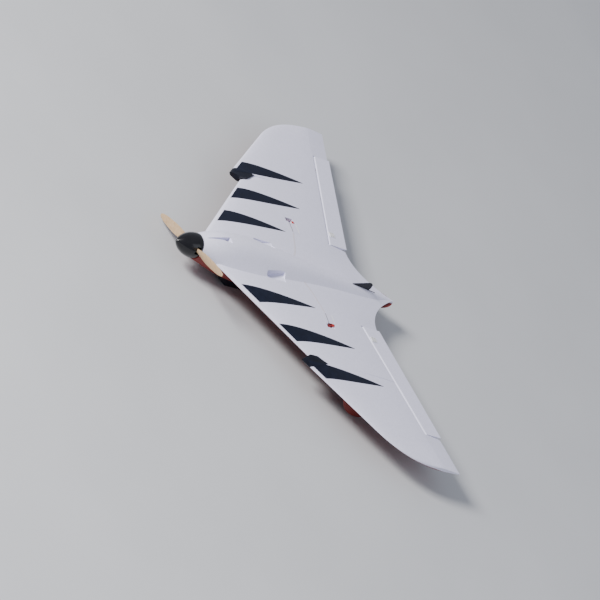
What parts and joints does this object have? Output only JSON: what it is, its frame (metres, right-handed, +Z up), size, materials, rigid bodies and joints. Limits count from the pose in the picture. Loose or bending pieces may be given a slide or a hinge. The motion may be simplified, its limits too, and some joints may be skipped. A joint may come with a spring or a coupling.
{
  "type": "rc flying wing",
  "caption": "Swept tailless radio-controlled foam aeroplane with a nose motor, two elevons worked by servos, dogtooth leading edges and a battery hatch in the belly",
  "frame": {"origin": "on the ground under the middle of the overall length, on the plane of symmetry, where the skid rails and the ventral fins touch", "axes": "+X to the pilot's left wing, +Y towards the tail, +Z up; the propeller axis lies along Y"},
  "size_m": [0.9, 0.665, 0.1005],
  "materials": {
    "white_foam": "moulded bead foam, matt",
    "red_foam": "moulded bead foam, painted red",
    "black_plastic": "moulded, satin",
    "spinner_black": "moulded, polished",
    "prop_tan": "moulded nylon",
    "white_plastic": "moulded nylon",
    "carbon": "pultruded tube",
    "plywood": "birch plywood",
    "aluminium": "turned",
    "steel": "bright",
    "copper_winding": "varnished wire on a laminated core",
    "motor_black": "anodised",
    "battery_wrap": "heat-shrink film",
    "strap_fabric": "hook and loop",
    "heat_shrink": "heat-shrink film",
    "plug_yellow": "moulded nylon",
    "wire_red": "silicone insulation",
    "lead_tricolour": "flat three-core servo lead",
    "servo_blue": "tinted moulded case"
  },
  "bodies": {
    "airframe": {"fuselage_deck": "white_foam", "belly_shell": "red_foam", "wing_panel_left": "white_foam", "wing_panel_right": "white_foam", "dogtooth_cap_left": "black_plastic", "dogtooth_cap_right": "black_plastic", "dorsal_fin": "black_plastic", "ventral_fin_left": "red_foam", "ventral_fin_right": "red_foam", "skid_rails": "black_plastic", "main_spar": "carbon", "rear_spar": "carbon", "firewall": "plywood", "motor_mount": "aluminium", "motor_mount_screws": "steel", "motor_stator": "copper_winding", "belly_magnets": "steel", "battery_tray": "plywood", "battery_pack": "battery_wrap", "battery_strap": "strap_fabric", "speed_controller": "heat_shrink", "receiver": "heat_shrink", "battery_plug": "plug_yellow", "esc_lead": "wire_red", "battery_lead": "wire_red", "motor_wires": "wire_red", "servo_left": "servo_blue", "servo_right": "servo_blue", "servo_lead_left": "lead_tricolour", "servo_lead_right": "lead_tricolour", "wing_hinge_leaves_left": "white_plastic", "wing_hinge_leaves_right": "white_plastic", "hinge_pins": "steel"},
    "propeller_unit": {"spinner_cone": "spinner_black", "spinner_backplate": "spinner_black", "propeller": "prop_tan", "prop_adapter": "aluminium", "prop_nut": "steel", "prop_washer": "steel", "motor_bell": "motor_black", "motor_shaft": "steel"},
    "battery_door": {"battery_hatch": "red_foam", "hatch_magnets": "steel"},
    "left_elevon": {"elevon_left": "white_foam", "control_horn_left": "white_plastic", "horn_backplate_left": "white_plastic", "horn_screws_left": "steel", "elevon_hinge_leaves_left": "white_plastic"},
    "left_servo_arm": {"servo_arm_left": "white_plastic"},
    "left_pushrod": {"pushrod_left": "steel"},
    "right_elevon": {"elevon_right": "white_foam", "control_horn_right": "white_plastic", "horn_backplate_right": "white_plastic", "horn_screws_right": "steel", "elevon_hinge_leaves_right": "white_plastic"},
    "right_servo_arm": {"servo_arm_right": "white_plastic"},
    "right_pushrod": {"pushrod_right": "steel"}
  },
  "joints": [
    {"name": "propeller_spin", "type": "hinge", "parent": "airframe", "child": "propeller_unit", "pos_m": [0, -0.2845, 0.054], "axis": [0, 1, 0], "continuous": true},
    {"name": "battery_door_hinge", "type": "hinge", "parent": "airframe", "child": "battery_door", "pos_m": [0, -0.2121, 0.01545], "axis": [-1, 0, 0], "range_deg": [0, 60]},
    {"name": "left_elevon_hinge", "type": "hinge", "parent": "airframe", "child": "left_elevon", "pos_m": [0.107, 0.17276, 0.057], "axis": [0.9611, 0.2761, 0], "range_deg": [-20, 20]},
    {"name": "left_servo_arm_pivot", "type": "hinge", "parent": "airframe", "child": "left_servo_arm", "pos_m": [0.1375, 0.0545, 0.06], "axis": [1, 0, 0], "range_deg": [-20, 20]},
    {"name": "left_pushrod_pivot", "type": "hinge", "parent": "left_servo_arm", "child": "left_pushrod", "pos_m": [0.1375, 0.0545, 0.044], "axis": [1, 0, 0], "range_deg": [-20, 20]},
    {"name": "right_elevon_hinge", "type": "hinge", "parent": "airframe", "child": "right_elevon", "pos_m": [-0.107, 0.17276, 0.057], "axis": [0.9611, -0.2761, 0], "range_deg": [-20, 20]},
    {"name": "right_servo_arm_pivot", "type": "hinge", "parent": "airframe", "child": "right_servo_arm", "pos_m": [-0.1375, 0.0545, 0.06], "axis": [1, 0, 0], "range_deg": [-20, 20]},
    {"name": "right_pushrod_pivot", "type": "hinge", "parent": "right_servo_arm", "child": "right_pushrod", "pos_m": [-0.1375, 0.0545, 0.044], "axis": [1, 0, 0], "range_deg": [-20, 20]}
  ],
  "couplings": [
    {"joint": "left_servo_arm_pivot", "follows": "left_elevon_hinge", "ratio": 0.9611},
    {"joint": "left_pushrod_pivot", "follows": "left_elevon_hinge", "ratio": -0.9611},
    {"joint": "right_servo_arm_pivot", "follows": "right_elevon_hinge", "ratio": 0.9611},
    {"joint": "right_pushrod_pivot", "follows": "right_elevon_hinge", "ratio": -0.9611}
  ]
}
